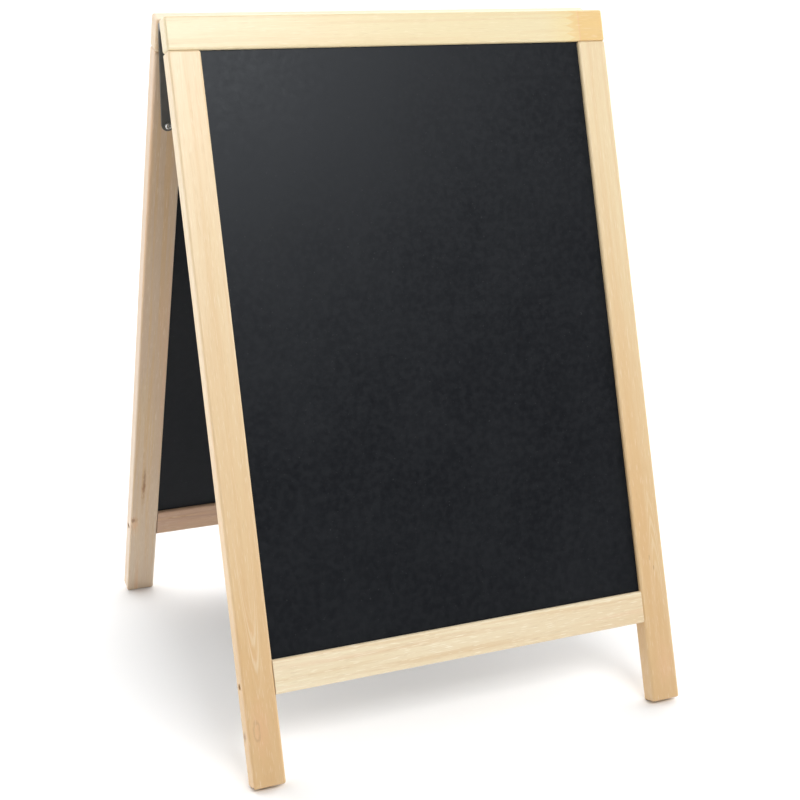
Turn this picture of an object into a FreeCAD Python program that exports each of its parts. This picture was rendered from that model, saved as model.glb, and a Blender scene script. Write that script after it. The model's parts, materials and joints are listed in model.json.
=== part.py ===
import FreeCAD, Part

import math
import os

import Sketcher
from FreeCAD import Vector

# A folding pavement board: two equal wooden frames, each with a chalk panel, hinged together at the top.
# The frame of the model: +X across the board, -Y out of the front panel, +Z up, Z = 0 on the ground,
# and the origin midway between the four feet. Sizes are in millimetres and degrees.

SIZES = [
    ("frame_width", 550.0, "outside width of a frame"),
    ("frame_length", 850.0, "length of a frame, from the top rail's top to the foot"),
    ("half_opening", 18.5, "lean of each frame when the board stands open"),
    ("stock_thickness", 22.0, "thickness of the rails and stiles"),
    ("stile_width", 37.5, "width of a stile"),
    ("top_rail_height", 38.0, "height of the top rail"),
    ("bottom_rail_height", 38.5, "height of the bottom rail"),
    ("leg_length", 98.5, "leg below the bottom rail"),
    ("edge_radius", 3.0, "rounding of the wooden edges"),
    ("panel_thickness", 12.0, "thickness of the chalk panel"),
    ("front_recess", 5.0, "front of the wood to the front of the panel"),
    ("groove_depth", 8.0, "depth of the groove that holds the panel"),
    ("groove_clearance", 0.1, "gap on each face of the panel in its groove"),
    ("panel_edge_gap", 0.4, "gap at the panel's sides and top edge in the groove"),
    ("dowel_diameter", 8.0, "diameter of a joint's dowel"),
    ("dowel_length", 30.0, "length of a joint's dowel"),
    ("dowel_clearance", 0.05, "radial gap round a dowel"),
    ("dowel_end_gap", 0.5, "gap past each end of a dowel"),
    ("dowel_chamfer", 0.8, "chamfer on a dowel's ends"),
    ("low_dowel_drop", 14.5, "top of the bottom rail to its dowel"),
    ("rail_screw_drop", 24.5, "top of the bottom rail to its screw"),
    ("rail_screw_length", 45.0, "bottom rail's screw, under its head"),
    ("rail_screw_diameter", 4.0, "bottom rail's screw"),
    ("rail_screw_head_diameter", 7.0, "bottom rail's screw head"),
    ("rail_screw_head_height", 2.6, "bottom rail's screw head"),
    ("rail_screw_head_rounding", 0.9, "rounding of that head's rim"),
    ("counterbore_diameter", 7.4, "hole in the stile's side that sinks the screw head"),
    ("counterbore_depth", 12.0, "stile's side to the seat of the screw head"),
    ("pin_drop", 5.0, "top of the frame to the hinge pin's axis"),
    ("pin_diameter", 6.0, "hinge pin"),
    ("pin_clearance", 0.05, "radial gap between the pin and its knuckles"),
    ("pin_head_diameter", 8.4, "riveted end of the hinge pin"),
    ("pin_head_length", 1.3, "riveted end of the hinge pin"),
    ("pin_head_rounding", 0.9, "rounding of the riveted end"),
    ("knuckle_clearance", 0.3, "gap between knuckles, and between a knuckle and the other frame"),
    ("hinge_inset", 19.5, "outside of the stile to the hinge's centre line"),
    ("barrel_length", 34.0, "length of the hinge's barrel and width of its leaves there"),
    ("middle_knuckle_length", 15.4, "length of the rear leaf's knuckle"),
    ("leaf_thickness", 2.5, "thickness of a hinge leaf"),
    ("leaf_edge_rounding", 0.6, "rounding of a leaf's visible rim"),
    ("strap_length", 129.0, "hinge pin's axis to the tip of the strap"),
    ("strap_shoulder", 11.0, "hinge pin's axis to where the strap begins to taper"),
    ("strap_tip_width", 16.0, "width of the strap's round tip"),
    ("stop_height", 2.2, "height of the opening stop above the barrel"),
    ("stop_width", 2.5, "width of the opening stop round the barrel"),
    ("stop_overlap", 3.0, "length over which the two leaves' stops meet"),
    ("hinge_screw_rise", 13.0, "hinge pin's axis down to the first hinge screw"),
    ("hinge_screw_pitch", 54.5, "spacing of a leaf's three screws"),
    ("hinge_screw_length", 16.0, "hinge screw, under its head"),
    ("hinge_screw_diameter", 4.0, "hinge screw"),
    ("hinge_screw_head_diameter", 8.0, "hinge screw head"),
    ("hinge_screw_head_height", 2.4, "hinge screw head"),
    ("hinge_screw_head_rounding", 1.6, "rounding of that head's rim"),
    ("screw_clearance", 0.05, "radial gap round a screw in its pilot hole"),
    ("screw_tip_gap", 1.0, "pilot hole past a screw's tip"),
    ("screw_point", 4.0, "length of a screw's point"),
    ("leaf_hole_gap", 0.3, "radial gap round a screw in a hinge leaf or a stile"),
    ("recess_width", 1.1, "width of a slot of a screw's cross recess"),
    ("recess_span", 4.4, "length of a slot of a screw's cross recess"),
    ("recess_depth", 1.5, "depth of a screw's cross recess"),
]

HINGE_SCREWS_PER_LEAF = 3

# Places nearer than this are the same, and so are directions with a cosine over this.
SAME_PLACE = 0.01
SAME_DIRECTION = 0.999

# Places in a frame's own coordinates, from the sizes. A frame is drawn upright, as the front one is seen:
# X across it, -Y out of its face and +Z up, with the hinge pins' axis along X through the origin.
# A name that ends in OUT is a distance from that axis along -Y.
BORE_RADIUS = "(Sizes.pin_diameter / 2 + Sizes.pin_clearance)"
KNUCKLE_RADIUS = f"({BORE_RADIUS} + Sizes.leaf_thickness)"
INNER_FACE_OUT = f"({KNUCKLE_RADIUS} + Sizes.knuckle_clearance)"
OUTER_FACE_OUT = f"({INNER_FACE_OUT} + Sizes.stock_thickness)"
MID_STOCK_OUT = f"({INNER_FACE_OUT} + Sizes.stock_thickness / 2)"
PANEL_FRONT_OUT = f"({OUTER_FACE_OUT} - Sizes.front_recess)"
PANEL_BACK_OUT = f"({PANEL_FRONT_OUT} - Sizes.panel_thickness)"
LEAF_FACE_OUT = f"({INNER_FACE_OUT} - Sizes.leaf_thickness)"
GROOVE_FRONT_Y = f"-({PANEL_FRONT_OUT} + Sizes.groove_clearance)"
GROOVE_BACK_Y = f"-({PANEL_BACK_OUT} - Sizes.groove_clearance)"

DOWEL_HOLE_DIAMETER = "(Sizes.dowel_diameter + 2 * Sizes.dowel_clearance)"

HALF_WIDTH = "(Sizes.frame_width / 2)"
HALF_GAP = f"({HALF_WIDTH} - Sizes.stile_width)"
HINGE_X = f"({HALF_WIDTH} - Sizes.hinge_inset)"
# Two dowels share a stile's top, with the same wood outside them, between them and inside them to the groove.
DOWEL_WALL = f"((Sizes.stile_width - Sizes.groove_depth - 2 * {DOWEL_HOLE_DIAMETER}) / 3)"
OUTER_DOWEL_X = f"({HALF_WIDTH} - {DOWEL_WALL} - {DOWEL_HOLE_DIAMETER} / 2)"
INNER_DOWEL_X = f"({HALF_GAP} + Sizes.groove_depth + {DOWEL_WALL} + {DOWEL_HOLE_DIAMETER} / 2)"

TOP = "Sizes.pin_drop"
TOP_RAIL_UNDERSIDE = f"({TOP} - Sizes.top_rail_height)"
FOOT = f"({TOP} - Sizes.frame_length)"
BOTTOM_RAIL_UNDERSIDE = f"({FOOT} + Sizes.leg_length)"
BOTTOM_RAIL_TOP = f"({BOTTOM_RAIL_UNDERSIDE} + Sizes.bottom_rail_height)"
LOW_DOWEL_Z = f"({BOTTOM_RAIL_TOP} - Sizes.low_dowel_drop)"
RAIL_SCREW_Z = f"({BOTTOM_RAIL_TOP} - Sizes.rail_screw_drop)"
HINGE_SCREW_Z = [
    f"-(Sizes.hinge_screw_rise + {step} * Sizes.hinge_screw_pitch)" for step in range(HINGE_SCREWS_PER_LEAF)
]

DOWEL_HOLE_DEPTH = "(Sizes.dowel_length / 2 + Sizes.dowel_end_gap)"
RAIL_SCREW_HOLE_DIAMETER = "(Sizes.rail_screw_diameter + 2 * Sizes.leaf_hole_gap)"
RAIL_PILOT_DIAMETER = "(Sizes.rail_screw_diameter + 2 * Sizes.screw_clearance)"
LEAF_HOLE_DIAMETER = "(Sizes.hinge_screw_diameter + 2 * Sizes.leaf_hole_gap)"
HINGE_PILOT_DIAMETER = "(Sizes.hinge_screw_diameter + 2 * Sizes.screw_clearance)"
HINGE_PILOT_DEPTH = "(Sizes.hinge_screw_length - Sizes.leaf_thickness + Sizes.screw_tip_gap)"
RAIL_SCREW_SEAT_X = f"({HALF_WIDTH} - Sizes.counterbore_depth)"
RAIL_SCREW_TIP_X = f"({RAIL_SCREW_SEAT_X} - Sizes.rail_screw_length)"
MIDDLE_NOTCH_HALF = "(Sizes.middle_knuckle_length / 2 + Sizes.knuckle_clearance)"

# The pins' height puts the rounded inner rim of each foot on the ground.
PIN_HEIGHT = (
    "((Sizes.frame_length - Sizes.pin_drop - Sizes.edge_radius) * cos(Sizes.half_opening)"
    f" - ({INNER_FACE_OUT} + Sizes.edge_radius) * sin(Sizes.half_opening) + Sizes.edge_radius)"
)
FRONT_TURN = "rotationx(-Sizes.half_opening)"
REAR_TURN = "rotationz(180) * rotationx(-Sizes.half_opening)"

doc = FreeCAD.newDocument("sandwich_board")
pieces = []


# ---- The sheet and the drawing helpers ----


def make_sheet():
    """Puts every driving size in the sheet: what it is in column A, its number in column B."""
    sheet = doc.addObject("Spreadsheet::Sheet", "Sizes")
    for row, (alias, number, meaning) in enumerate(SIZES, start=1):
        sheet.set(f"A{row}", meaning)
        sheet.set(f"B{row}", str(number))
        sheet.setAlias(f"B{row}", alias)
    doc.recompute()


def new_piece(name, turn, x="0"):
    """An empty body in a frame's own coordinates, which its placement leans and lifts to where it stands."""
    body = doc.addObject("PartDesign::Body", name)
    body.AllowCompound = True
    body.setExpression("Placement", f"placement(vector({x}; 0; {PIN_HEIGHT}); {turn})")
    pieces.append(body)
    return body


def origin_item(body, role):
    """One of the body's own origin planes or axes."""
    return next(item for item in body.Origin.OriginFeatures if item.Role == role)


def new_sketch(body, name, plane, offset="0", tilt="0"):
    """A sketch on an origin plane, moved along the plane's normal by offset and turned in it by tilt."""
    sketch = body.newObject("Sketcher::SketchObject", name)
    sketch.AttachmentSupport = (origin_item(body, plane), [""])
    sketch.MapMode = "FlatFace"
    sketch.setExpression("AttachmentOffset.Base.z", offset)
    sketch.setExpression("AttachmentOffset.Rotation.Angle", tilt)
    return sketch


def number(sketch, expression):
    """What an expression of the sheet's cells comes to."""
    return float(sketch.evalExpression(expression))


def dimension(sketch, kind, geometry, point, expression):
    """Adds a distance from the sketch's origin, or another dimension, and binds it to the sheet."""
    value = number(sketch, expression)
    if kind in ("DistanceX", "DistanceY"):
        index = sketch.addConstraint(Sketcher.Constraint(kind, -1, 1, geometry, point, value))
    else:
        index = sketch.addConstraint(Sketcher.Constraint(kind, geometry, value))
    sketch.setExpression(f"Constraints[{index}]", expression)


def polygon(sketch, corners):
    """A closed outline of straight lines, with each corner's two distances bound to the sheet."""
    points = [Vector(number(sketch, x), number(sketch, y), 0) for x, y in corners]
    count = len(points)
    for index in range(count):
        sketch.addGeometry(Part.LineSegment(points[index], points[(index + 1) % count]), False)
    for index in range(count):
        sketch.addConstraint(Sketcher.Constraint("Coincident", index, 2, (index + 1) % count, 1))
    for index, (x, y) in enumerate(corners):
        dimension(sketch, "DistanceX", index, 1, x)
        dimension(sketch, "DistanceY", index, 1, y)


def rectangle(sketch, x_low, x_high, y_low, y_high):
    """A closed rectangle between four bound distances."""
    polygon(sketch, [(x_low, y_low), (x_high, y_low), (x_high, y_high), (x_low, y_high)])


def circles(sketch, centres, diameter):
    """Circles of one bound diameter about bound centres."""
    for index, (x, y) in enumerate(centres):
        centre = Vector(number(sketch, x), number(sketch, y), 0)
        sketch.addGeometry(Part.Circle(centre, Vector(0, 0, 1), number(sketch, diameter) / 2), False)
        dimension(sketch, "DistanceX", index, 3, x)
        dimension(sketch, "DistanceY", index, 3, y)
        dimension(sketch, "Diameter", index, 0, diameter)


def add(body, sketch, length):
    """Pads the sketch along its normal."""
    pad = body.newObject("PartDesign::Pad", f"{sketch.Name}_pad")
    pad.Profile = sketch
    pad.setExpression("Length", length)
    doc.recompute()
    return pad


def cut(body, sketch, length):
    """Pockets the sketch along its normal, and makes sure that it took something away."""
    before = body.Shape.Volume
    pocket = body.newObject("PartDesign::Pocket", f"{sketch.Name}_pocket")
    pocket.Profile = sketch
    pocket.Reversed = True
    pocket.setExpression("Length", length)
    doc.recompute()
    if body.Shape.Volume >= before:
        raise RuntimeError(f"{pocket.Name} cuts nothing from {body.Name}")
    return pocket


def revolve(body, sketch, axis):
    """Turns the sketch once round one of its own axes."""
    revolution = body.newObject("PartDesign::Revolution", f"{sketch.Name}_turned")
    revolution.Profile = sketch
    revolution.ReferenceAxis = (sketch, [axis])
    revolution.Angle = 360
    doc.recompute()
    return revolution


def round_edges(body, feature, radius, wanted=None):
    """Rounds a feature's edges: all of them, or those that wanted() picks."""
    fillet = body.newObject("PartDesign::Fillet", f"{feature.Name}_rounded")
    if wanted is None:
        fillet.Base = (feature, ["Edge1"])
        fillet.UseAllEdges = True
    else:
        edges = enumerate(feature.Shape.Edges, start=1)
        fillet.Base = (feature, [f"Edge{index}" for index, edge in edges if wanted(edge)])
    fillet.setExpression("Radius", radius)
    doc.recompute()
    return fillet


def repeat(body, axis, length, count):
    """Repeats the whole body along one of its origin axes."""
    pattern = body.newObject("PartDesign::LinearPattern", f"{body.Name}_row")
    pattern.TransformMode = "Whole shape"
    pattern.Direction = (origin_item(body, axis), [""])
    pattern.setExpression("Length", length)
    pattern.Occurrences = count
    body.Tip = pattern
    doc.recompute()
    return pattern


def mirror(body, plane):
    """Repeats the whole body on the other side of one of its origin planes."""
    mirrored = body.newObject("PartDesign::Mirrored", f"{body.Name}_pair")
    mirrored.TransformMode = "Whole shape"
    mirrored.MirrorPlane = (origin_item(body, plane), [""])
    body.Tip = mirrored
    doc.recompute()
    return mirrored


def along(edge, direction):
    """Whether an edge is a straight line in that direction."""
    if not isinstance(edge.Curve, Part.Line):
        return False
    return abs(edge.Curve.Direction.dot(direction)) > SAME_DIRECTION


def at_far_end(feature, direction):
    """A test for round_edges(): whether an edge lies at the feature's far end in that direction."""
    end = max(vertex.Point.dot(direction) for vertex in feature.Shape.Vertexes)
    return lambda edge: all(vertex.Point.dot(direction) > end - SAME_PLACE for vertex in edge.Vertexes)


# ---- The wooden frame ----


def cut_panel_groove_across(body, half_length, z_low, z_high):
    """The panel's groove in a rail: it runs along X, to half_length each side of the middle."""
    sketch = new_sketch(body, f"{body.Name}_groove", "YZ_Plane", offset=f"-{half_length}")
    rectangle(sketch, GROOVE_FRONT_Y, GROOVE_BACK_Y, z_low, z_high)
    cut(body, sketch, f"2 * {half_length}")


def make_top_rail(name, turn):
    """The top rail: full width, rounded all over, with a stopped groove and four dowel holes underneath."""
    body = new_piece(name, turn)
    profile = new_sketch(body, f"{name}_profile", "YZ_Plane", offset=f"-{HALF_WIDTH}")
    rectangle(profile, f"-{OUTER_FACE_OUT}", f"-{INNER_FACE_OUT}", TOP_RAIL_UNDERSIDE, TOP)
    round_edges(body, add(body, profile, "Sizes.frame_width"), "Sizes.edge_radius")
    groove_top = f"{TOP_RAIL_UNDERSIDE} + Sizes.groove_depth"
    cut_panel_groove_across(body, f"({HALF_GAP} + Sizes.groove_depth)", TOP_RAIL_UNDERSIDE, groove_top)
    dowels = new_sketch(body, f"{name}_dowel_holes", "XY_Plane", offset=TOP_RAIL_UNDERSIDE)
    centres = [
        (f"{sign}{x}", f"-{MID_STOCK_OUT}") for sign in ("-", "") for x in (OUTER_DOWEL_X, INNER_DOWEL_X)
    ]
    circles(dowels, centres, DOWEL_HOLE_DIAMETER)
    cut(body, dowels, DOWEL_HOLE_DEPTH)
    pilots = new_sketch(body, f"{name}_pilot_holes", "XZ_Plane", offset=INNER_FACE_OUT)
    circles(pilots, [(f"{sign}{HINGE_X}", HINGE_SCREW_Z[0]) for sign in ("-", "")], HINGE_PILOT_DIAMETER)
    cut(body, pilots, HINGE_PILOT_DEPTH)


def span(side, near, far):
    """The lower and the higher X of what lies between two distances from the middle. side is -1 or 1."""
    return (f"-{far}", f"-{near}") if side < 0 else (near, far)


def make_stile(name, turn, side):
    """A stile, which is a leg below the bottom rail. side is -1 on the frame's left and 1 on its right."""
    body = new_piece(name, turn)
    sign = "-" if side < 0 else ""
    x_low, x_high = span(side, HALF_GAP, HALF_WIDTH)
    section = new_sketch(body, f"{name}_section", "XY_Plane", offset=FOOT)
    rectangle(section, x_low, x_high, f"-{OUTER_FACE_OUT}", f"-{INNER_FACE_OUT}")
    round_edges(body, add(body, section, f"{TOP_RAIL_UNDERSIDE} - {FOOT}"), "Sizes.edge_radius")

    groove_floor = f"({BOTTOM_RAIL_TOP} - Sizes.groove_depth)"
    groove = new_sketch(body, f"{name}_groove", "XY_Plane", offset=groove_floor)
    groove_low, groove_high = span(side, HALF_GAP, f"({HALF_GAP} + Sizes.groove_depth)")
    rectangle(groove, groove_low, groove_high, GROOVE_FRONT_Y, GROOVE_BACK_Y)
    cut(body, groove, f"{TOP_RAIL_UNDERSIDE} - {groove_floor}")

    dowel_floor = f"{TOP_RAIL_UNDERSIDE} - {DOWEL_HOLE_DEPTH}"
    dowels = new_sketch(body, f"{name}_dowel_holes", "XY_Plane", offset=dowel_floor)
    centres = [(f"{sign}{x}", f"-{MID_STOCK_OUT}") for x in (OUTER_DOWEL_X, INNER_DOWEL_X)]
    circles(dowels, centres, DOWEL_HOLE_DIAMETER)
    cut(body, dowels, DOWEL_HOLE_DEPTH)

    # The bottom rail's joint: a dowel from inside, and a screw from outside with its head sunk.
    for hole, near, far, z, diameter in (
        ("dowel_hole", HALF_GAP, f"({HALF_GAP} + {DOWEL_HOLE_DEPTH})", LOW_DOWEL_Z, DOWEL_HOLE_DIAMETER),
        ("screw_hole", HALF_GAP, HALF_WIDTH, RAIL_SCREW_Z, RAIL_SCREW_HOLE_DIAMETER),
        ("counterbore", RAIL_SCREW_SEAT_X, HALF_WIDTH, RAIL_SCREW_Z, "Sizes.counterbore_diameter"),
    ):
        start, _ = span(side, near, far)
        sketch = new_sketch(body, f"{name}_low_{hole}", "YZ_Plane", offset=start)
        circles(sketch, [(f"-{MID_STOCK_OUT}", z)], diameter)
        cut(body, sketch, f"{far} - {near}")

    pilots = new_sketch(body, f"{name}_pilot_holes", "XZ_Plane", offset=INNER_FACE_OUT)
    circles(pilots, [(f"{sign}{HINGE_X}", z) for z in HINGE_SCREW_Z[1:]], HINGE_PILOT_DIAMETER)
    cut(body, pilots, HINGE_PILOT_DEPTH)


def make_bottom_rail(name, turn):
    """The bottom rail: square-cut ends against the stiles, its long edges rounded, the groove on top."""
    body = new_piece(name, turn)
    profile = new_sketch(body, f"{name}_profile", "YZ_Plane", offset=f"-{HALF_GAP}")
    rectangle(profile, f"-{OUTER_FACE_OUT}", f"-{INNER_FACE_OUT}", BOTTOM_RAIL_UNDERSIDE, BOTTOM_RAIL_TOP)
    pad = add(body, profile, f"2 * {HALF_GAP}")
    round_edges(body, pad, "Sizes.edge_radius", lambda edge: along(edge, Vector(1, 0, 0)))
    groove_floor = f"{BOTTOM_RAIL_TOP} - Sizes.groove_depth"
    cut_panel_groove_across(body, HALF_GAP, groove_floor, BOTTOM_RAIL_TOP)
    pilot_depth = f"({HALF_GAP} - {RAIL_SCREW_TIP_X} + Sizes.screw_tip_gap)"
    for hole, z, diameter, depth in (
        ("dowel", LOW_DOWEL_Z, DOWEL_HOLE_DIAMETER, DOWEL_HOLE_DEPTH),
        ("pilot", RAIL_SCREW_Z, RAIL_PILOT_DIAMETER, pilot_depth),
    ):
        for end, start in (("left", f"-{HALF_GAP}"), ("right", f"{HALF_GAP} - {depth}")):
            sketch = new_sketch(body, f"{name}_{end}_{hole}_hole", "YZ_Plane", offset=start)
            circles(sketch, [(f"-{MID_STOCK_OUT}", z)], diameter)
            cut(body, sketch, depth)


def make_chalk_panel(name, turn):
    """The chalk panel: it stands on the bottom groove's floor, with a little play at its other edges."""
    body = new_piece(name, turn)
    sketch = new_sketch(body, f"{name}_outline", "XZ_Plane", offset=PANEL_BACK_OUT)
    half = f"({HALF_GAP} + Sizes.groove_depth - Sizes.panel_edge_gap)"
    z_low = f"{BOTTOM_RAIL_TOP} - Sizes.groove_depth"
    z_high = f"{TOP_RAIL_UNDERSIDE} + Sizes.groove_depth - Sizes.panel_edge_gap"
    rectangle(sketch, f"-{half}", half, z_low, z_high)
    add(body, sketch, "Sizes.panel_thickness")


def chamfer_ends(body, pad, direction):
    """Chamfers the two end rims of a dowel that lies in that direction."""
    chamfer = body.newObject("PartDesign::Chamfer", f"{body.Name}_chamfer")
    rims = [f"Edge{i}" for i, edge in enumerate(pad.Shape.Edges, start=1) if not along(edge, direction)]
    chamfer.Base = (pad, rims)
    chamfer.setExpression("Size", "Sizes.dowel_chamfer")
    doc.recompute()


def make_top_rail_dowels(name, turn):
    """Two dowels in each joint of the top rail, half in the rail and half in the stile."""
    body = new_piece(name, turn)
    low_end = f"{TOP_RAIL_UNDERSIDE} - Sizes.dowel_length / 2"
    sketch = new_sketch(body, f"{name}_section", "XY_Plane", offset=low_end)
    circles(sketch, [(INNER_DOWEL_X, f"-{MID_STOCK_OUT}")], "Sizes.dowel_diameter")
    chamfer_ends(body, add(body, sketch, "Sizes.dowel_length"), Vector(0, 0, 1))
    repeat(body, "X_Axis", f"{OUTER_DOWEL_X} - {INNER_DOWEL_X}", 2)
    mirror(body, "YZ_Plane")


def make_bottom_rail_dowels(name, turn):
    """One dowel in each joint of the bottom rail, half in the rail and half in the stile."""
    body = new_piece(name, turn)
    sketch = new_sketch(body, f"{name}_section", "YZ_Plane", offset=f"{HALF_GAP} - Sizes.dowel_length / 2")
    circles(sketch, [(f"-{MID_STOCK_OUT}", LOW_DOWEL_Z)], "Sizes.dowel_diameter")
    chamfer_ends(body, add(body, sketch, "Sizes.dowel_length"), Vector(1, 0, 0))
    mirror(body, "YZ_Plane")


# ---- Screws ----


def cut_cross_recess(body, plane, floor, x, y):
    """The cross recess in a screw's head: two slots at right angles, cut along the plane's normal."""
    long, short = "Sizes.recess_span / 2", "Sizes.recess_width / 2"
    for slot, half_x, half_y in (("flat", long, short), ("upright", short, long)):
        sketch = new_sketch(body, f"{body.Name}_{slot}_slot", plane, offset=floor)
        rectangle(sketch, f"{x} - {half_x}", f"{x} + {half_x}", f"{y} - {half_y}", f"{y} + {half_y}")
        cut(body, sketch, "Sizes.recess_depth")


def screw_outline(screw, seat):
    """Half a screw's section as (place along its axis, radius), from its tip to the top of its head."""
    shank_radius, head_radius = f"Sizes.{screw}_diameter / 2", f"Sizes.{screw}_head_diameter / 2"
    tip = f"({seat} - Sizes.{screw}_length)"
    top = f"({seat} + Sizes.{screw}_head_height)"
    return [
        (tip, "0"),
        (f"{tip} + Sizes.screw_point", shank_radius),
        (seat, shank_radius),
        (seat, head_radius),
        (top, head_radius),
        (top, "0"),
    ]


def turn_screw(body, sketch, axis, screw, outward):
    """Turns the half section into a screw and rounds the rim of its head, which faces outward."""
    turned = revolve(body, sketch, axis)
    round_edges(body, turned, f"Sizes.{screw}_head_rounding", at_far_end(turned, outward))


def make_rail_screws(name, turn):
    """The bottom rail's two screws: each lies along X, its head sunk in the stile's side."""
    body = new_piece(name, turn)
    sketch = new_sketch(body, f"{name}_section", "XZ_Plane", offset=MID_STOCK_OUT)
    sketch.setExpression("AttachmentOffset.Base.y", RAIL_SCREW_Z)
    polygon(sketch, screw_outline("rail_screw", RAIL_SCREW_SEAT_X))
    turn_screw(body, sketch, "H_Axis", "rail_screw", Vector(1, 0, 0))
    recess_floor = f"{RAIL_SCREW_SEAT_X} + Sizes.rail_screw_head_height - Sizes.recess_depth"
    cut_cross_recess(body, "YZ_Plane", recess_floor, f"-{MID_STOCK_OUT}", RAIL_SCREW_Z)
    mirror(body, "YZ_Plane")


def make_hinge_screws(name, turn):
    """One frame's six hinge screws: pan heads on the leaves, shanks in the wood, three in each leaf."""
    body = new_piece(name, turn)
    sketch = new_sketch(body, f"{name}_section", "XY_Plane", offset=HINGE_SCREW_Z[0])
    sketch.setExpression("AttachmentOffset.Base.x", HINGE_X)
    polygon(sketch, [(radius, place) for place, radius in screw_outline("hinge_screw", f"-{LEAF_FACE_OUT}")])
    turn_screw(body, sketch, "V_Axis", "hinge_screw", Vector(0, 1, 0))
    head_top = f"{LEAF_FACE_OUT} - Sizes.hinge_screw_head_height"
    cut_cross_recess(body, "XZ_Plane", head_top, HINGE_X, HINGE_SCREW_Z[0])
    steps = HINGE_SCREWS_PER_LEAF - 1
    row = repeat(body, "Z_Axis", f"{steps} * Sizes.hinge_screw_pitch", HINGE_SCREWS_PER_LEAF)
    row.Reversed = True
    doc.recompute()
    mirror(body, "YZ_Plane")


# ---- Hinges ----


def draw_strap(sketch):
    """The strap's outline: square at the barrel, then tapering to a round tip that its sides touch smoothly."""
    half, tip_radius = "Sizes.barrel_length / 2", "Sizes.strap_tip_width / 2"
    tip_centre = f"-(Sizes.strap_length - {tip_radius})"
    wide, shoulder = number(sketch, half), -number(sketch, "Sizes.strap_shoulder")
    radius, centre = number(sketch, tip_radius), number(sketch, tip_centre)
    # Where the tapering side leaves the tip: the tangent from the shoulder to the tip's circle.
    rise = shoulder - centre
    turn = math.atan2(rise, wide) - math.acos(radius / math.hypot(wide, rise))
    touch_x, touch_z = radius * math.cos(turn), centre + radius * math.sin(turn)
    corners = [
        Vector(-touch_x, touch_z, 0),
        Vector(-wide, shoulder, 0),
        Vector(-wide, 0, 0),
        Vector(wide, 0, 0),
        Vector(wide, shoulder, 0),
        Vector(touch_x, touch_z, 0),
    ]
    for start, end in zip(corners, corners[1:]):
        sketch.addGeometry(Part.LineSegment(start, end), False)
    circle = Part.Circle(Vector(0, centre, 0), Vector(0, 0, 1), radius)
    tip = sketch.addGeometry(Part.ArcOfCircle(circle, math.pi - turn, 2 * math.pi + turn), False)
    for index in range(4):
        sketch.addConstraint(Sketcher.Constraint("Coincident", index, 2, index + 1, 1))
    for index, kind in ((1, "Vertical"), (2, "Horizontal"), (3, "Vertical")):
        sketch.addConstraint(Sketcher.Constraint(kind, index))
    sketch.addConstraint(Sketcher.Constraint("Tangent", 4, 2, tip, 2))
    sketch.addConstraint(Sketcher.Constraint("Tangent", 0, 1, tip, 1))
    dimension(sketch, "DistanceX", 2, 1, f"-{half}")
    dimension(sketch, "DistanceY", 2, 1, "0")
    dimension(sketch, "DistanceX", 2, 2, half)
    dimension(sketch, "DistanceY", 0, 2, "-Sizes.strap_shoulder")
    dimension(sketch, "DistanceY", 3, 2, "-Sizes.strap_shoulder")
    dimension(sketch, "DistanceX", tip, 3, "0")
    dimension(sketch, "DistanceY", tip, 3, tip_centre)
    dimension(sketch, "Radius", tip, 0, tip_radius)


def barrel_circle(body, name, start, radius):
    """A circle about the pin's axis, on a plane across it."""
    sketch = new_sketch(body, f"{body.Name}_{name}", "YZ_Plane", offset=start)
    circles(sketch, [("0", "0")], f"2 * {radius}")
    return sketch


def add_stop(body, name, start, length, foot_radius):
    """A stop on top of the barrel. It leans with the frame, so the two leaves' stops meet upright."""
    sketch = new_sketch(body, f"{body.Name}_{name}", "YZ_Plane", offset=start, tilt="Sizes.half_opening")
    near, far = "-Sizes.knuckle_clearance / 2", "-(Sizes.knuckle_clearance / 2 + Sizes.stop_width)"
    rectangle(sketch, far, near, foot_radius, f"{KNUCKLE_RADIUS} + Sizes.stop_height")
    add(body, sketch, length)


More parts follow.
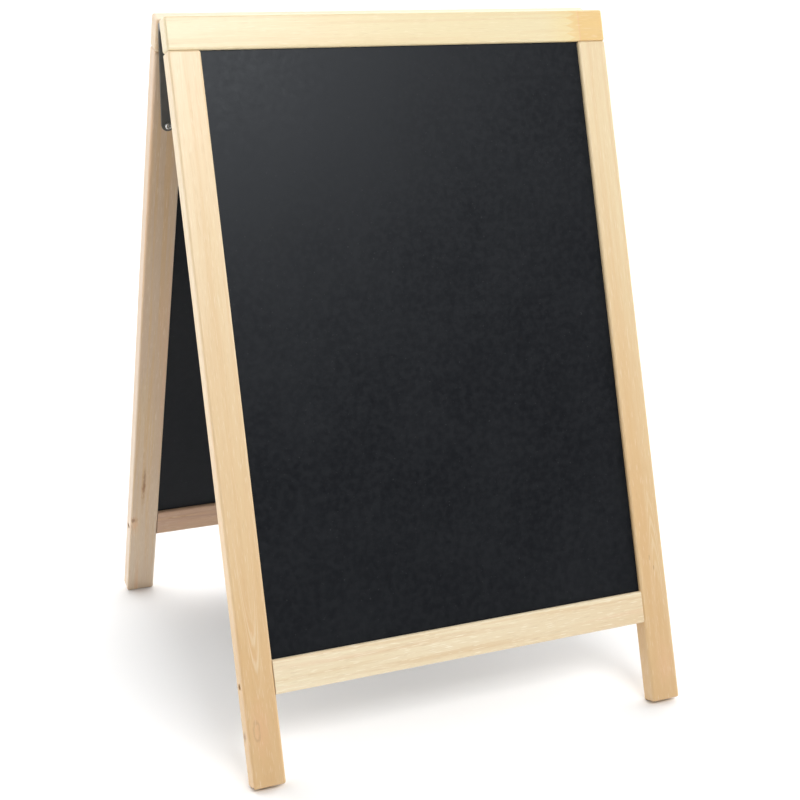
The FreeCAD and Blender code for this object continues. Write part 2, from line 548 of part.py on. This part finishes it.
def make_leaf(name, turn, x, outer_knuckles):
    """A hinge leaf: a tapered strap, its knuckles, a stop and three screw holes.

    The front leaf has the two outer knuckles and the rear leaf the middle one."""
    body = new_piece(name, turn, x)
    outline = new_sketch(body, f"{name}_strap", "XZ_Plane", offset=LEAF_FACE_OUT)
    draw_strap(outline)
    strap = add(body, outline, "Sizes.leaf_thickness")
    inner_rim = -number(outline, LEAF_FACE_OUT)
    shoulder = -number(outline, "Sizes.strap_shoulder")
    round_edges(
        body,
        strap,
        "Sizes.leaf_edge_rounding",
        lambda edge: edge.BoundBox.YMin > inner_rim - SAME_PLACE and edge.BoundBox.ZMin < shoulder - SAME_PLACE,
    )
    half, middle = "Sizes.barrel_length / 2", "Sizes.middle_knuckle_length / 2"
    outer_length = f"({half} - {MIDDLE_NOTCH_HALF})"
    in_wall = f"({BORE_RADIUS} + {KNUCKLE_RADIUS}) / 2"
    above_barrel = INNER_FACE_OUT
    if outer_knuckles:
        notch = barrel_circle(body, "notch", f"-{MIDDLE_NOTCH_HALF}", INNER_FACE_OUT)
        cut(body, notch, f"2 * {MIDDLE_NOTCH_HALF}")
        for side, start, stop_start in (
            ("left", f"-{half}", f"-({MIDDLE_NOTCH_HALF} + Sizes.stop_overlap)"),
            ("right", MIDDLE_NOTCH_HALF, MIDDLE_NOTCH_HALF),
        ):
            add(body, barrel_circle(body, f"{side}_knuckle", start, KNUCKLE_RADIUS), outer_length)
            add_stop(body, f"{side}_stop", stop_start, "Sizes.stop_overlap", in_wall)
    else:
        for side, start in (("left", f"-{half}"), ("right", middle)):
            cut(body, barrel_circle(body, f"{side}_notch", start, INNER_FACE_OUT), f"{half} - {middle}")
        add(body, barrel_circle(body, "knuckle", f"-{middle}", KNUCKLE_RADIUS), "Sizes.middle_knuckle_length")
        add_stop(body, "stop", f"-{middle}", "Sizes.middle_knuckle_length", in_wall)
        reach = f"({MIDDLE_NOTCH_HALF} + Sizes.stop_overlap)"
        add_stop(body, "stop_bar", f"-{reach}", f"2 * {reach}", above_barrel)
    cut(body, barrel_circle(body, "bore", f"-{half}", BORE_RADIUS), "Sizes.barrel_length")
    holes = new_sketch(body, f"{name}_screw_holes", "XZ_Plane", offset=LEAF_FACE_OUT)
    circles(holes, [("0", z) for z in HINGE_SCREW_Z], LEAF_HOLE_DIAMETER)
    cut(body, holes, "Sizes.leaf_thickness")


def make_pin(name, x):
    """A hinge pin, with a riveted end each side of the barrel. It stays with the front leaf."""
    body = new_piece(name, FRONT_TURN, x)
    half = "Sizes.barrel_length / 2"
    add(body, barrel_circle(body, "shank", f"-{half}", "Sizes.pin_diameter / 2"), "Sizes.barrel_length")
    outside = f"({half} + Sizes.pin_head_length)"
    for side, start, outward in (("left", f"-{outside}", -1), ("right", half, 1)):
        head = barrel_circle(body, f"{side}_head", start, "Sizes.pin_head_diameter / 2")
        pad = add(body, head, "Sizes.pin_head_length")
        round_edges(body, pad, "Sizes.pin_head_rounding", at_far_end(pad, Vector(outward, 0, 0)))


# ---- The whole board ----


def make_frame(frame, turn):
    """All the pieces of one frame. Turned about Z, the rear frame's left is the drawn frame's right."""
    left = -1 if frame == "front" else 1
    make_top_rail(f"{frame}_top_rail", turn)
    make_stile(f"{frame}_left_stile", turn, left)
    make_stile(f"{frame}_right_stile", turn, -left)
    make_bottom_rail(f"{frame}_bottom_rail", turn)
    make_chalk_panel(f"{frame}_chalk_panel", turn)
    make_top_rail_dowels(f"{frame}_top_rail_dowels", turn)
    make_bottom_rail_dowels(f"{frame}_bottom_rail_dowels", turn)
    make_rail_screws(f"{frame}_bottom_rail_screws", turn)
    make_hinge_screws(f"{frame}_hinge_screws", turn)


def make_hinge(side, x):
    """A hinge at that distance across the board: two leaves and their pin."""
    make_leaf(f"{side}_hinge_front_leaf", FRONT_TURN, x, outer_knuckles=True)
    make_leaf(f"{side}_hinge_rear_leaf", REAR_TURN, x, outer_knuckles=False)
    make_pin(f"{side}_hinge_pin", x)


def check_pieces():
    """Stops if any object failed or any piece is empty or invalid."""
    doc.recompute()
    failed = [item.Label for item in doc.Objects if {"Invalid", "Error"} & set(item.State)]
    failed += [piece.Label for piece in pieces if piece.Shape.isNull() or not piece.Shape.isValid()]
    if failed:
        raise RuntimeError(f"failed: {failed}")


def write_pieces():
    """Writes each piece to a file that has its name."""
    os.makedirs("parts", exist_ok=True)
    for piece in pieces:
        piece.Shape.exportStep(f"parts/{piece.Label}.step")


make_sheet()
make_frame("front", FRONT_TURN)
make_frame("rear", REAR_TURN)
make_hinge("left", f"-{HINGE_X}")
make_hinge("right", HINGE_X)
check_pieces()
write_pieces()
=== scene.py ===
import json
import math

import bpy
from mathutils import Matrix, Vector

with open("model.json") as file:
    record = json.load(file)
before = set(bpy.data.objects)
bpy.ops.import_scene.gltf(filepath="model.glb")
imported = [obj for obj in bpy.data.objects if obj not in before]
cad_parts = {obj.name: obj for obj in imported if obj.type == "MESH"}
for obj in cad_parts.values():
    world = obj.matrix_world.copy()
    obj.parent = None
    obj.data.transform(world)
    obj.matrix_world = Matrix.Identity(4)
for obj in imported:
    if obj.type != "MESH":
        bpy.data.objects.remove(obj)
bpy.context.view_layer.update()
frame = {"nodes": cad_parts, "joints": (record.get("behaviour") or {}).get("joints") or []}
nodes = frame["nodes"]
fold = frame["joints"][0]

# A frame's own upright coordinates run X across, -Y out of its face and +Z up, from the hinge pins' axis.
# That axis lies along X at this height, and each frame leans out from it by half of the whole opening.
HINGE_HEIGHT = fold["pos_m"][2]
HALF_OPENING = math.radians(-fold["range_deg"][0] / 2)

# The Mix node gives one name to its number, vector and colour sockets. These are its colours' places.
FIRST_COLOUR_INPUT = 6
SECOND_COLOUR_INPUT = 7
COLOUR_OUTPUT = 2


# ---- Shader sums ----


class Value:
    """A node's output in a finish: a number, a vector or a colour. Arithmetic on a number adds Math nodes."""

    def __init__(self, finish, socket):
        self.finish = finish
        self.socket = socket

    def _math(self, operation, *terms):
        return self.finish.node("ShaderNodeMath", {"operation": operation}, dict(enumerate(terms)))

    def __add__(self, other):
        return self._math("ADD", self, other)

    __radd__ = __add__

    def __sub__(self, other):
        return self._math("SUBTRACT", self, other)

    def __rsub__(self, other):
        return self._math("SUBTRACT", other, self)

    def __mul__(self, other):
        return self._math("MULTIPLY", self, other)

    __rmul__ = __mul__

    def __truediv__(self, other):
        return self._math("DIVIDE", self, other)

    def __rtruediv__(self, other):
        return self._math("DIVIDE", other, self)

    def __pow__(self, other):
        return self._math("POWER", self, other)

    def __rpow__(self, other):
        return self._math("POWER", other, self)

    def __abs__(self):
        return self._math("ABSOLUTE", self)

    def root(self):
        return self._math("SQRT", self)

    def zigzag(self, width):
        """A straight-sided wave from 0 to 1 and back, a width long each way."""
        return self._math("PINGPONG", self, width) / width


class Finish:
    """A shader while it is made, of a material or of the studio's walls. Every node comes from node()."""

    def __init__(self, owner):
        owner.use_nodes = True
        self.owner = owner
        self.tree = owner.node_tree
        self.tree.nodes.clear()

    def node(self, kind, settings=None, inputs=None, output=0):
        """A node of a type, its settings set first, then the numbers or links of its sockets."""
        made = self.tree.nodes.new(kind)
        for name, setting in (settings or {}).items():
            setattr(made, name, setting)
        for name, given in (inputs or {}).items():
            if isinstance(given, Value):
                self.tree.links.new(given.socket, made.inputs[name])
            else:
                made.inputs[name].default_value = given
        return Value(self, made.outputs[output]) if made.outputs else None

    def noise(self, vector, waves, detail=2.0, roughness=0.5):
        """Smooth noise from 0 to 1, at so many waves to the metre."""
        inputs = {"Vector": vector, "Scale": waves, "Detail": detail, "Roughness": roughness}
        return self.node("ShaderNodeTexNoise", {"noise_dimensions": "3D"}, inputs)

    def fade(self, value, low, high, start=0.0, end=1.0):
        """A smooth step from start, where the value is low, to end, where it is high."""
        inputs = {"Value": value, "From Min": low, "From Max": high, "To Min": start, "To Max": end}
        return self.node("ShaderNodeMapRange", {"interpolation_type": "SMOOTHSTEP"}, inputs)

    def mix(self, factor, first, second):
        """Two colours mixed. Each is a link or a linear colour of three numbers."""
        inputs = {"Factor": factor}
        for place, colour in ((FIRST_COLOUR_INPUT, first), (SECOND_COLOUR_INPUT, second)):
            inputs[place] = colour if isinstance(colour, Value) else (*colour, 1.0)
        return self.node("ShaderNodeMix", {"data_type": "RGBA"}, inputs, COLOUR_OUTPUT)

    def split(self, vector):
        """A vector's three numbers."""
        separate = self.node("ShaderNodeSeparateXYZ", inputs={"Vector": vector})
        return [Value(self, output) for output in separate.socket.node.outputs]

    def join(self, x, y, z):
        """A vector of three numbers."""
        return self.node("ShaderNodeCombineXYZ", inputs={"X": x, "Y": y, "Z": z})

    def bump(self, height, strength, rise):
        """The shader's Normal for a pattern of heights, of which a height of 1 rises so many metres."""
        return self.node("ShaderNodeBump", inputs={"Height": height, "Strength": strength, "Distance": rise})

    def surface(self, settings):
        """Ends a material with its shader, which has these settings, and gives the material."""
        shader = self.node("ShaderNodeBsdfPrincipled", inputs=settings)
        self.node("ShaderNodeOutputMaterial", inputs={"Surface": shader})
        return self.owner


def new_finish(name):
    """A new material's finish."""
    return Finish(bpy.data.materials.new(name))


def place_in_frame(finish, rear):
    """The point in its frame's upright coordinates, in metres from the hinge pins' axis: across, in, up."""
    place = finish.node("ShaderNodeTexCoord", output="Object")
    axis = (0.0, 0.0, HINGE_HEIGHT)
    place = finish.node("ShaderNodeVectorMath", {"operation": "SUBTRACT"}, {0: place, 1: axis})
    if rear:
        half_turn = {"Vector": place, "Angle": math.pi}
        place = finish.node("ShaderNodeVectorRotate", {"rotation_type": "Z_AXIS"}, half_turn)
    lean = {"Vector": place, "Angle": HALF_OPENING}
    return finish.node("ShaderNodeVectorRotate", {"rotation_type": "X_AXIS"}, lean)


# ---- Wood ----

CREAM = (0.75, 0.645, 0.43)
YELLOW_CREAM = (0.72, 0.615, 0.37)
PALE_STRAW = (0.81, 0.705, 0.50)
STRAW = (0.72, 0.555, 0.32)
TAN = (0.65, 0.425, 0.21)
BLUSH = (0.74, 0.44, 0.26)
ROSE = (0.60, 0.43, 0.29)
DUSKY_ROSE = (0.51, 0.32, 0.22)
GREY_ROSE = (0.65, 0.52, 0.39)
AMBER = (0.76, 0.61, 0.30)
ORANGE = (0.72, 0.46, 0.165)
PALE_PORE = (0.92, 0.84, 0.68)
PORE_BROWN = (0.42, 0.26, 0.13)
RUST = (0.44, 0.23, 0.12)
KNOT_BROWN = (0.20, 0.09, 0.045)

# Where the writing face lies in its frame's own coordinates, in metres inward from the hinge pins' axis.
WRITING_FACE = -0.02785

# Each count of a board's seed moves its noise this many metres: across the face, through it and along it.
SEED_STEP_ACROSS = 0.131
SEED_STEP_INWARD = 0.057
SEED_STEP_ALONG = 0.029

# How uneven the skin of a knot or a patch is, as a share of its half size.
SKIN_UNEVENNESS = 0.9

# A nest of arches is full as far from its middle line as the first, and gone at the second, in metres.
ARCH_CORE = 0.008
ARCH_END = 0.014

# The lacquer over the wood, and how far the height pattern of a finish rises, in metres.
WOOD_ROUGHNESS = 0.43
LACQUER_WEIGHT = 0.28
LACQUER_ROUGHNESS = 0.25
FINE_RISE = 0.0001


class Board:
    """A board's wood: its finish, and the point's place along the grain, across the face and through it."""

    def __init__(self, name, rear, upright, seed):
        self.wood = new_finish(name)
        across, self.inward, up = self.wood.split(place_in_frame(self.wood, rear))
        self.along, self.side = (up, across) if upright else (across, up)
        self.seed = seed
        self.wander = self.grain(30.0, 0.05)
        self.ripple = self.grain(260.0, 0.5)
        self.colour = None

    def grain(self, waves, stretch, detail=2.0, roughness=0.55, bend=0.0):
        """Noise drawn out along the board: waves to the metre across the grain, and stretch times that along
        it. A bend in metres makes its lines wander across the face."""
        side = self.side + self.seed * SEED_STEP_ACROSS
        if bend:
            side = side + (self.wander - 0.5) * bend
        inward = self.inward + self.seed * SEED_STEP_INWARD
        along = self.along * stretch + self.seed * SEED_STEP_ALONG
        return self.wood.noise(self.wood.join(side, inward, along), waves, detail, roughness)

    def stain(self, mask, colour):
        """Lays a colour over the board where a mask from 0 to 1 says."""
        self.colour = self.wood.mix(mask, self.colour, colour)

    def distance(self, middle, reach):
        """Distance from the middle of an egg shape, 1 at its uneven skin. Both are along, across, inward."""
        places = (self.along, self.side, self.inward)
        squares = [((place - centre) / half) ** 2.0 for place, centre, half in zip(places, middle, reach)]
        return (squares[0] + squares[1] + squares[2]).root() + (self.ripple - 0.5) * SKIN_UNEVENNESS

    def knot(self, middle, reach, darkness, heart):
        """A knot: a dark skin from 0.7 to 1.4 of the reach, round a heart with some of its darkness."""
        far = self.distance(middle, reach)
        mask = self.wood.fade(far, 0.70, 1.0, heart, 1.0) * self.wood.fade(far, 1.0, 1.4, 1.0, 0.0)
        self.stain(mask * darkness, KNOT_BROWN)

    def blush(self, middle, reach, strength, colour=BLUSH):
        """A soft patch of colour, the strongest in its middle."""
        self.stain(self.wood.fade(self.distance(middle, reach), 0.0, 1.0, strength, 0.0), colour)

    def arches(self, along, side, steepness, pitch, reach, strength, colour):
        """Nested arches where the growth rings run out of the face: lines of equal along + steepness * side
        squared, a pitch apart, that fade out over the reach."""
        height = self.along - along + (self.side - side) ** 2.0 * steepness
        height = height + (self.wander - 0.5) * pitch * 2.5
        near = self.wood.fade(abs(height), 0.2 * reach, reach, 1.0, 0.0)
        near = near * self.wood.fade(abs(self.side - side), ARCH_CORE, ARCH_END, 1.0, 0.0)
        self.stain(self.wood.fade(height.zigzag(pitch / 2), 0.3, 0.9) * near * strength, colour)

    def finished(self, pores, pale_pores=0.2, bands=0.45, streak=BLUSH):
        """Bands, streaks, fibres and pores over the colour, then the lacquer. The numbers say how strong."""
        wood = self.wood
        rings = self.grain(170.0, 0.018, 3.0, 0.6, bend=0.015)
        streaks = self.grain(75.0, 0.03, 2.0, 0.5, bend=0.02)
        fibres = self.grain(1300.0, 0.012, 2.0, 0.6)
        pore = wood.fade(self.grain(900.0, 0.07, 1.0), 0.60, 0.70)
        pale_pore = wood.fade(self.grain(1000.0, 0.06, 1.0, 0.45, bend=0.004), 0.61, 0.70)
        self.stain(wood.fade(rings, 0.46, 0.66) * bands, TAN)
        self.stain(wood.fade(streaks, 0.52, 0.68) * bands * 0.6, streak)
        self.stain(wood.fade(fibres, 0.45, 0.70) * 0.15, TAN)
        self.stain(pore * pores, PORE_BROWN)
        self.stain(pale_pore * pale_pores, PALE_PORE)
        return wood.surface({
            "Base Color": self.colour,
            "Roughness": WOOD_ROUGHNESS + (rings - 0.5) * 0.15 + pore * 0.12,
            "Coat Weight": LACQUER_WEIGHT,
            "Coat Roughness": LACQUER_ROUGHNESS,
            "Normal": wood.bump(fibres * 0.3 - pore * 0.7 - pale_pore * 0.4, 0.3, FINE_RISE),
        })


def plain_board(name, rear, upright, seed, first, second, low, high):
    """A board with soft bands of two colours, with more of the second from low to high along it."""
    board = Board(name, rear, upright, seed)
    wood = board.wood
    # On the stiles the step from low to high along the board is partly painted light, paler where more light
    # falls; the noise is the wood's own tone.
    tone_and_painted_light_share = wood.fade(board.along, low, high) * 0.75 + (board.grain(22.0, 0.045, 3.0, 0.6) - 0.5) * 1.4
    board.colour = wood.mix(tone_and_painted_light_share, first, second)
    board.stain(wood.fade(board.grain(60.0, 0.10, bend=0.02), 0.50, 0.72) * 0.25, STRAW)
    return board


def front_top_rail_wood():
    """Pale board with a darker piece finger-jointed to its right end, and a seam across that piece."""
    board = plain_board("front_top_rail_wood", False, False, 3, CREAM, YELLOW_CREAM, -0.30, 0.0)
    wood = board.wood
    joint, tooth_width, tooth_length = 0.225, 0.0047, 0.012
    seam = 0.2402
    uneven = (board.wander - 0.5) * 0.02
    teeth = (board.side + 0.033).zigzag(tooth_width)
    board.stain(wood.fade(board.along + uneven, joint - 0.04, joint) * 0.55, AMBER)
    tips = wood.fade(board.along - teeth * tooth_length - uneven, joint - 0.0015, joint + 0.0015)
    board.stain(tips * 0.38, ORANGE)
    board.blush((0.2380, -0.008, WRITING_FACE), (0.012, 0.030, 0.02), 0.35, ORANGE)
    board.stain(wood.fade(board.along, seam - 0.0006, seam + 0.0006) * 0.55, ORANGE)
    line = wood.fade(abs(board.along - seam + uneven * 0.15), 0.0004, 0.0014, 1.0, 0.0)
    board.stain(line * 0.45, BLUSH)
    return board.finished(pores=0.10, bands=0.22, streak=STRAW)


def front_left_stile_wood():
    """Pale above and tan at the leg, partly the wood's own tone and partly painted light from above, with
    arched rings, and by the foot an oval knot and a dark side mark.
    """
    board = plain_board("front_left_stile_wood", False, True, 5, TAN, PALE_STRAW, -0.90, -0.10)
    board.arches(-0.690, -0.2565, -1100.0, 0.030, 0.060, 0.42, PALE_STRAW)
    board.arches(-0.681, -0.2565, -1100.0, 0.030, 0.060, 0.16, BLUSH)
    board.blush((-0.780, -0.2610, WRITING_FACE), (0.045, 0.016, 0.02), 0.45)
    board.knot((-0.782, -0.2645, WRITING_FACE), (0.0105, 0.0034, 0.007), 0.24, 0.10)
    board.blush((-0.7880, -0.2760, -0.0140), (0.0080, 0.0060, 0.0075), 1.0, KNOT_BROWN)
    return board.finished(pores=0.10, bands=0.28, streak=STRAW)


def front_right_stile_wood():
    """Cream above and tan below, partly the wood's own tone and partly painted light from above, with faint
    arched rings and two dark flecks by the bottom rail.
    """
    board = plain_board("front_right_stile_wood", False, True, 7, TAN, CREAM, -0.90, -0.15)
    board.arches(-0.640, 0.262, 1200.0, 0.028, 0.090, 0.30, PALE_STRAW)
    board.knot((-0.669, 0.2545, WRITING_FACE), (0.0030, 0.0007, 0.003), 0.40, 0.9)
    board.knot((-0.682, 0.2590, WRITING_FACE), (0.0025, 0.0007, 0.003), 0.35, 0.9)
    board.blush((-0.800, 0.2600, WRITING_FACE), (0.040, 0.018, 0.02), 0.35)
    return board.finished(pores=0.10, bands=0.28, streak=STRAW)


def front_bottom_rail_wood():
    """Pale board with many pale open pores and rosy streaks."""
    board = plain_board("front_bottom_rail_wood", False, False, 11, PALE_STRAW, TAN, -0.30, 0.70)
    return board.finished(pores=0.15, pale_pores=0.65, bands=0.40)


def rear_top_rail_wood():
    """Cream board, rosier towards one end."""
    board = plain_board("rear_top_rail_wood", True, False, 13, CREAM, ROSE, -0.9, 0.6)
    return board.finished(pores=0.12)


def rear_left_stile_wood():
    """Rosy board with a brown streak in a pale one, and a small red knot, low on its inner face."""
    # Paler and greyer towards the foot: partly painted light, the floor's bounce on the inner face.
    board = plain_board("rear_left_stile_wood", True, True, 17, GREY_ROSE, ROSE, -0.85, -0.45)
    board.blush((-0.655, 0.2595, 0.0), (0.055, 0.0060, 0.03), 0.50, STRAW)
    board.blush((-0.658, 0.2600, 0.0), (0.050, 0.0042, 0.03), 0.95, RUST)
    board.blush((-0.650, 0.2594, 0.0), (0.034, 0.0026, 0.03), 0.80, KNOT_BROWN)
    board.blush((-0.724, 0.2700, 0.0), (0.022, 0.0085, 0.02), 0.70)
    board.blush((-0.7145, 0.2710, 0.0), (0.0075, 0.0080, 0.02), 0.90, RUST)
    board.blush((-0.7155, 0.2718, 0.0), (0.0045, 0.0042, 0.02), 0.95, KNOT_BROWN)
    return board.finished(pores=0.15, bands=0.55)


def rear_right_stile_wood():
    """Rosy board with faint arched rings."""
    # Paler and greyer towards the foot: partly painted light, the floor's bounce on the inner face.
    board = plain_board("rear_right_stile_wood", True, True, 19, GREY_ROSE, ROSE, -0.85, -0.45)
    board.arches(-0.55, -0.256, 1200.0, 0.026, 0.090, 0.30, STRAW)
    return board.finished(pores=0.15)


def rear_bottom_rail_wood():
    """Dusky board with one nest of small dark arches."""
    board = plain_board("rear_bottom_rail_wood", True, False, 23, DUSKY_ROSE, ROSE, -0.6, 1.2)
    board.arches(0.205, -0.720, 2600.0, 0.020, 0.022, 0.40, KNOT_BROWN)
    return board.finished(pores=0.15, bands=0.35)


def dowel_wood(name, rear, seed):
    """Plain pale dowel rod."""
    board = plain_board(name, rear, True, seed, CREAM, STRAW, -0.8, 0.0)
    return board.finished(pores=0.10, bands=0.2)


# ---- Chalkboard ----

DEEP_BLACK = (0.0020, 0.0026, 0.0042)
WIPED_BLACK = (0.0036, 0.0043, 0.0060)
MOTTLED_BLACK = (0.0062, 0.0070, 0.0088)
CHALK_SPECK = (0.06, 0.06, 0.06)
COOL_SHINE = (0.90, 0.95, 1.0, 1.0)


def chalkboard(name, rear):
    """Black chalk paint on a smooth board: a satin film with a fine rolled grain and faint wiped clouds."""
    paint = new_finish(name)
    place = place_in_frame(paint, rear)
    clouds = paint.noise(place, 9.0, 4.0, 0.6)
    mottle = paint.noise(place, 140.0, 3.0, 0.6)
    grain = paint.noise(place, 1500.0, 2.0, 0.6)
    speck = paint.fade(paint.noise(place, 420.0, 1.0), 0.74, 0.80)
    colour = paint.mix(paint.fade(clouds, 0.3, 0.7), DEEP_BLACK, WIPED_BLACK)
    colour = paint.mix(paint.fade(mottle, 0.40, 0.65) * 0.6, colour, MOTTLED_BLACK)
    colour = paint.mix(speck * 0.3, colour, CHALK_SPECK)
    return paint.surface({
        "Base Color": colour,
        "Roughness": 0.40 + (mottle - 0.5) * 0.20 + (clouds - 0.5) * 0.10,
        "Specular IOR Level": 0.26,
        "Specular Tint": COOL_SHINE,
        "Normal": paint.bump(grain + mottle, 0.35, FINE_RISE),
    })


# ---- Hinges and screws ----

COAT_BLACK = (0.105, 0.107, 0.103)
RUBBED_BLACK = (0.150, 0.142, 0.130)
DULL_ZINC = (0.52, 0.52, 0.50)
BRIGHT_ZINC = (0.72, 0.73, 0.73)
ZINC_RISE = 0.00005


def black_hinge():
    """Steel under a thin satin black coat, a little thin and brown where it has rubbed."""
    coat = new_finish("black_hinge_coat")
    place = coat.node("ShaderNodeTexCoord", output="Object")
    orange_peel = coat.noise(place, 1100.0, 2.0)
    patches = coat.noise(place, 60.0, 3.0, 0.6)
    return coat.surface({
        "Base Color": coat.mix(coat.fade(patches, 0.35, 0.75), COAT_BLACK, RUBBED_BLACK),
        "Roughness": 0.36 + (patches - 0.5) * 0.2,
        "Metallic": 0.35,
        "Normal": coat.bump(orange_peel, 0.25, FINE_RISE),
    })


def zinc_steel(name):
    """Bright zinc plate with a soft cloudy sheen."""
    zinc = new_finish(name)
    clouds = zinc.noise(zinc.node("ShaderNodeTexCoord", output="Object"), 450.0, 3.0, 0.6)
    return zinc.surface({
        "Base Color": zinc.mix(zinc.fade(clouds, 0.3, 0.7), DULL_ZINC, BRIGHT_ZINC),
        "Roughness": 0.28 + (clouds - 0.5) * 0.2,
        "Metallic": 1.0,
        "Normal": zinc.bump(clouds, 0.15, ZINC_RISE),
    })


# ---- Where each finish goes ----


def give(node_name, material):
    """Puts one material in every slot of a node's mesh."""
    for slot in nodes[node_name].material_slots:
        slot.material = material


def dress_frame(side, rear, seed):
    """The finishes that the two frames make alike: panel, screws and dowels."""
    give(f"{side}_chalk_panel", chalkboard(f"{side}_chalkboard", rear))
    dowels = dowel_wood(f"{side}_dowel_wood", rear, seed)
    give(f"{side}_top_rail_dowels", dowels)
    give(f"{side}_bottom_rail_dowels", dowels)
    screw_zinc = zinc_steel(f"{side}_screw_zinc")
    give(f"{side}_bottom_rail_screws", screw_zinc)
    give(f"{side}_hinge_screws", screw_zinc)


def dress_boards():
    """The finish of each rail and stile, no two of them alike."""
    give("front_top_rail", front_top_rail_wood())
    give("front_left_stile", front_left_stile_wood())
    give("front_right_stile", front_right_stile_wood())
    give("front_bottom_rail", front_bottom_rail_wood())
    give("rear_top_rail", rear_top_rail_wood())
    give("rear_left_stile", rear_left_stile_wood())
    give("rear_right_stile", rear_right_stile_wood())
    give("rear_bottom_rail", rear_bottom_rail_wood())


def dress_hinges():
    """One black coat over both hinges and their pins."""
    coat = black_hinge()
    for side in ("left", "right"):
        give(f"{side}_hinge_front_leaf", coat)
        give(f"{side}_hinge_rear_leaf", coat)
        give(f"{side}_hinge_pin", coat)


# ---- Floor, light and camera ----

FLOOR_REACH = 30.0
FLOOR_WHITE = (0.92, 0.92, 0.92, 1.0)
WALL_WHITE = (1.0, 1.0, 1.0, 1.0)

BACK_WALL_GLOW = 2.2
RIGHT_WALL_GLOW = 2.8
LEFT_WALL_GLOW = 0.5
CEILING_GLOW = 0.42

SOFTBOX_PLACE = (0.25, -2.55, 2.65)
SOFTBOX_TARGET = (0.0, 0.0, 0.6)
SOFTBOX_WIDTH = 1.7
SOFTBOX_HEIGHT = 1.1
SOFTBOX_WATTS = 60.5

# The camera's place is in metres, its turn, tilt and roll in radians, and its lens and sensor in mm.
CAMERA_PLACE = (-0.7184, -1.6735, 0.9189)
CAMERA_TURN = -0.4171
CAMERA_TILT_DOWN = 0.3105
CAMERA_ROLL = 0.0136
LENS = 67.98
SENSOR_WIDTH = 36.0


def put_in_scene(name, data):
    """A new object of a name, with its mesh, light or camera, in the scene."""
    thing = bpy.data.objects.new(name, data)
    bpy.context.scene.collection.objects.link(thing)
    return thing


def make_floor():
    """A wide flat sheet of four corners at the feet's height."""
    far = FLOOR_REACH
    corners = [(-far, -far, 0.0), (far, -far, 0.0), (far, far, 0.0), (-far, far, 0.0)]
    mesh = bpy.data.meshes.new("floor")
    mesh.from_pydata(corners, [], [(0, 1, 2, 3)])
    mesh.materials.append(new_finish("pale_floor").surface({"Base Color": FLOOR_WHITE, "Roughness": 0.9}))
    floor = put_in_scene("floor", mesh)


def make_walls():
    """The studio's white walls and ceiling: the brightest are behind the board and on its right, and none is
    in front. Each fades in as the direction turns towards it."""
    studio = bpy.data.worlds.new("studio")
    walls = Finish(studio)
    right, back, above = walls.split(walls.node("ShaderNodeTexCoord", output="Generated"))
    glow = (
        walls.fade(back, 0.0, 0.5, end=BACK_WALL_GLOW)
        + walls.fade(right, 0.6, 0.95, end=RIGHT_WALL_GLOW)
        + walls.fade(right, -0.4, -0.9, end=LEFT_WALL_GLOW)
        + walls.fade(above, 0.35, 0.9, end=CEILING_GLOW)
    )
    light = walls.node("ShaderNodeBackground", inputs={"Color": WALL_WHITE, "Strength": glow})
    walls.node("ShaderNodeOutputWorld", inputs={"Surface": light})
    bpy.context.scene.world = studio


def make_softbox():
    """One large rectangular softbox in front of the board and above it."""
    light = bpy.data.lights.new("front_softbox", "AREA")
    light.shape = "RECTANGLE"
    light.size = SOFTBOX_WIDTH
    light.size_y = SOFTBOX_HEIGHT
    light.energy = SOFTBOX_WATTS
    softbox = put_in_scene("front_softbox", light)
    softbox.location = SOFTBOX_PLACE
    way = Vector(SOFTBOX_TARGET) - Vector(SOFTBOX_PLACE)
    softbox.rotation_euler = way.to_track_quat("-Z", "Y").to_euler()


def make_light():
    """The walls' glow, the softbox, and colours shown as they are."""
    make_walls()
    make_softbox()
    bpy.context.scene.view_settings.view_transform = "Standard"


def make_camera():
    """The camera: where it stands, its turn from straight ahead, its downward tilt and its slight roll."""
    camera = bpy.data.cameras.new("camera")
    camera.lens = LENS
    camera.sensor_width = SENSOR_WIDTH
    camera_object = put_in_scene("camera", camera)
    turn = Matrix.Rotation(CAMERA_TURN, 4, "Z")
    tilt = Matrix.Rotation(math.pi / 2 - CAMERA_TILT_DOWN, 4, "X")
    roll = Matrix.Rotation(CAMERA_ROLL, 4, "Z")
    camera_object.matrix_world = Matrix.Translation(CAMERA_PLACE) @ turn @ tilt @ roll
    bpy.context.scene.camera = camera_object


dress_boards()
dress_frame("front", False, 29)
dress_frame("rear", True, 31)
dress_hinges()
make_floor()
make_light()
make_camera()
